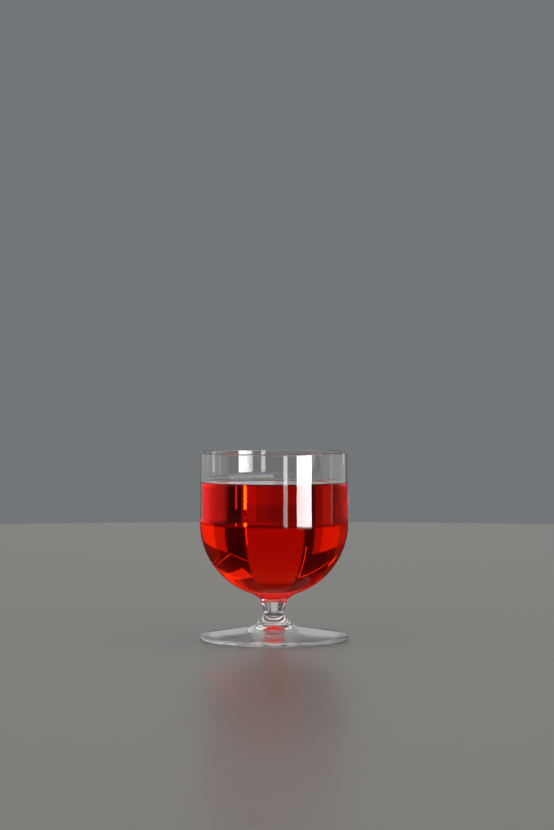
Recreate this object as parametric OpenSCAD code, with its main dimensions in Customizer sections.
// Footed rocks glass: a straight-sided bowl with a round bottom on a short waisted stem, a collar and a
// wide foot, holding a red drink. The four glass pieces are stacked on one axis and fused end to end.
// Millimetres, +Z up, origin on the axis at the plane that the foot stands on.

/* [Foot] */
// Diameter of the foot
foot_d = 80; // [60:0.5:100]
// Thickness of the foot at its rounded edge
foot_edge = 2.8; // [2:0.1:4]
// Height of the foot's crown, which the collar is fused to
foot_h = 8.4; // [7.5:0.1:11]
// Diameter of the crown
crown_d = 20; // [19:0.5:28]
// Height of the crown above the foot's cone
crown_rise = 1.05; // [0.4:0.05:2]
// Radius of the hollow sweep from the crown into the cone
crown_sweep_r = 16; // [8:1:30]
// Width of the flat ring that the foot stands on
rest_ring_w = 3.5; // [1.5:0.1:6]
// Depth of the hollow under the foot, on the axis
hollow_h = 5; // [0.6:0.1:5.5]

/* [Collar] */
// Diameter of the bell-shaped collar at its round edge
collar_d = 18.2; // [17:0.1:20]
// Thickness of the collar at its round edge
collar_edge = 2.2; // [1.6:0.1:2.8]
// Height of the collar, from the crown to the stem
collar_h = 3.9; // [3.4:0.1:4.6]

/* [Stem] */
// Height of the stem, from the collar to the bowl
stem_h = 9.1; // [7:0.1:14]
// Diameter of the stem at its waist
waist_d = 10.8; // [9:0.1:11.6]
// Height of the waist above the stem's lower end
waist_z = 2.9; // [2.6:0.1:3.4]
// Radius of the hollow sweep round the waist
waist_sweep_r = 3; // [2:0.1:3.4]
// Diameter of the stem's upper end, where it is fused to the bowl
stem_top_d = 14; // [12:0.1:18]

/* [Bowl] */
// Outer diameter of the bowl's straight wall
bowl_d = 80; // [70:0.5:95]
// Height of the straight wall, above the round bottom
wall_h = 38.25; // [25:0.25:55]
// Thickness of the wall
wall_t = 1.2; // [0.9:0.1:2]
// Thickness of the round bottom, beside the well
floor_t = 2.2; // [1.4:0.1:4]
// Height of the flare between the round bottom and the stem
flare_h = 1.85; // [1:0.05:4]
// Radius of the flare's hollow sweep
flare_r = 13; // [8:0.5:24]
// Thickness of the glass under the well in the middle of the bowl's floor
well_floor = 1.2; // [0.6:0.1:2]
// Radius of the well's round bottom
well_r = 12; // [8:0.5:16]
// Radius of the round rim that leads into the well
well_rim_r = 8; // [4:0.5:12]

/* [Drink] */
// Depth of the drink's surface below the rim
headspace = 15.8; // [8:0.2:24]
// Clearance between the drink and the bowl's inside
drink_gap = 0.1; // [0.05:0.05:0.3]

/* [Hidden] */
$fn = 180;

glass_colour = [0.86, 0.9, 0.91, 0.35];
drink_colour = [0.78, 0.03, 0.02, 0.9];

// heights of the fused joints, from the foot up
collar_z = foot_h;
stem_z = collar_z + collar_h;
bowl_z = stem_z + stem_h;

// The point at distance ra from a and rb from b, on the left of the way from a to b
function meet(a, ra, b, rb) =
    let (
        gap = norm(b - a),
        ahead = (b - a) / gap,
        left = [-ahead[1], ahead[0]],
        along = (ra * ra - rb * rb + gap * gap) / (2 * gap)
    )
    a + along * ahead + sqrt(ra * ra - along * along) * left;

// The point at distance r from a, on the way to b
function towards(a, r, b) = a + r * (b - a) / norm(b - a);

// The point where a line from a touches the circle of radius r about b, on the left of the way to b, or on
// its right if r is negative
function tangent(a, b, r) =
    let (
        gap = norm(b - a),
        ahead = (b - a) / gap,
        left = [-ahead[1], ahead[0]],
        reach = sqrt(gap * gap - r * r)
    )
    a + reach / gap * (reach * ahead + r * left);

// The way out of a line that passes circle a on its right and circle b on its left, touching both
function cross_out(a, ra, b, rb) =
    let (
        gap = norm(b - a),
        ahead = (b - a) / gap,
        right = [ahead[1], -ahead[0]],
        share = (ra + rb) / gap
    )
    share * ahead + sqrt(1 - share * share) * right;

// The radius at height z on the line through a and b
function line_r(a, b, z) = a[0] + (b[0] - a[0]) * (z - a[1]) / (b[1] - a[1]);

// the bell's straight side touches the collar's round edge and the hollow sweep round the stem's waist
collar_edge_r = collar_edge / 2;
collar_rim = [collar_d / 2 - collar_edge_r, collar_z + collar_edge_r];
waist = [waist_d / 2 + waist_sweep_r, stem_z + waist_z];
bell_out = cross_out(collar_rim, collar_edge_r, waist, waist_sweep_r);
bell_low = collar_rim + collar_edge_r * bell_out;
bell_high = waist - waist_sweep_r * bell_out;
collar_top = [line_r(bell_low, bell_high, stem_z), stem_z];

stem_top = [stem_top_d / 2, bowl_z];
bowl_r = bowl_d / 2;
bowl_ball = [0, bowl_z + flare_h + bowl_r];
inside_ball = bowl_ball + [0, floor_t - wall_t];
rim_z = bowl_ball[1] + wall_h;

// Half section of a round-bottomed vessel: a half circle of radius r about height ball_z, straight above it
module vessel_section(r, ball_z, top_z) {
    intersection() {
        translate([0, ball_z])
            circle(r);
        translate([0, ball_z - r])
            square(r);
    }
    translate([0, ball_z])
        square([r, top_z - ball_z]);
}

// Half section of the bowl's inside up to top_z, smaller by gap all round: a vessel whose floor dips into a
// shallow well over the stem
module inside_section(top_z, gap) {
    ball_r = bowl_r - wall_t;
    well = [0, bowl_z + well_floor + well_r];
    rim = meet(inside_ball, ball_r + well_rim_r, well, well_r + well_rim_r);
    high = towards(inside_ball, ball_r - gap, rim);
    low = towards(well, well_r - gap, rim);
    vessel_section(ball_r - gap, inside_ball[1], top_z);
    difference() {
        polygon([[0, low[1]], low, rim, high, [0, high[1]]]);
        translate(rim)
            circle(well_rim_r + gap);
    }
    intersection() {
        translate(well)
            circle(well_r - gap);
        translate([0, well[1] - well_r])
            square([well_r, low[1] - well[1] + well_r]);
    }
}

// Solid disc: its top runs from the crown through a hollow sweep and a cone to the rounded edge, and its
// underside is hollowed so that it stands on a ring
module foot() {
    edge_r = foot_edge / 2;
    edge = [foot_d / 2 - edge_r, edge_r];
    crown = [crown_d / 2, foot_h];
    // the cone's line runs from under the crown's rim to where it touches the rounded edge
    cone_top = crown - [0, crown_rise];
    touch = tangent(cone_top, edge, edge_r);
    down = (touch - cone_top) / norm(touch - cone_top);
    out = [-down[1], down[0]];
    // the sweep's circle touches that line and passes through the crown's rim
    rise = crown_rise * out[1];
    run = sqrt(2 * crown_sweep_r * rise - rise * rise) + crown_rise * down[1];
    sweep_foot = cone_top + run * down;
    sweep = sweep_foot + crown_sweep_r * out;
    color(glass_colour)
        rotate_extrude() {
            difference() {
                polygon([
                    [0, hollow_h], [edge[0] - rest_ring_w, 0], [edge[0], 0], edge, touch,
                    sweep_foot, sweep, crown, [0, foot_h]
                ]);
                translate(sweep)
                    circle(crown_sweep_r);
            }
            translate(edge)
                circle(edge_r);
        }
}

// Bell-shaped button of glass with a round edge, whose side runs on into the stem
module collar() {
    color(glass_colour)
        rotate_extrude() {
            polygon([
                [0, collar_z], [collar_rim[0], collar_z], collar_rim, bell_low,
                collar_top, [0, stem_z]
            ]);
            translate(collar_rim)
                circle(collar_edge_r);
        }
}

// Solid bit of glass: a hollow sweep round its waist, and above that a straight cone up to the bowl
module stem() {
    cone_foot = tangent(stem_top, waist, -waist_sweep_r);
    color(glass_colour)
        rotate_extrude()
            difference() {
                polygon([
                    [0, stem_z], collar_top, bell_high, waist, cone_foot, stem_top, [0, bowl_z]
                ]);
                translate(waist)
                    circle(waist_sweep_r);
            }
}

// Blown bowl: straight wall with a rounded lip, round bottom, and the flare that the stem is fused to
module bowl() {
    flare = meet(bowl_ball, bowl_r + flare_r, stem_top, flare_r);
    top = towards(bowl_ball, bowl_r, flare);
    lip_r = wall_t / 2;
    color(glass_colour)
        rotate_extrude() {
            difference() {
                union() {
                    vessel_section(bowl_r, bowl_ball[1], rim_z - lip_r);
                    difference() {
                        polygon([[0, bowl_z], stem_top, flare, top, [0, top[1]]]);
                        translate(flare)
                            circle(flare_r);
                    }
                }
                inside_section(rim_z, 0);
            }
            translate([bowl_r - lip_r, rim_z - lip_r])
                circle(lip_r);
        }
}

// The drink, filling the bowl's inside up to its surface
module drink() {
    color(drink_colour)
        rotate_extrude()
            inside_section(rim_z - headspace, drink_gap);
}

foot();
collar();
stem();
bowl();
drink();
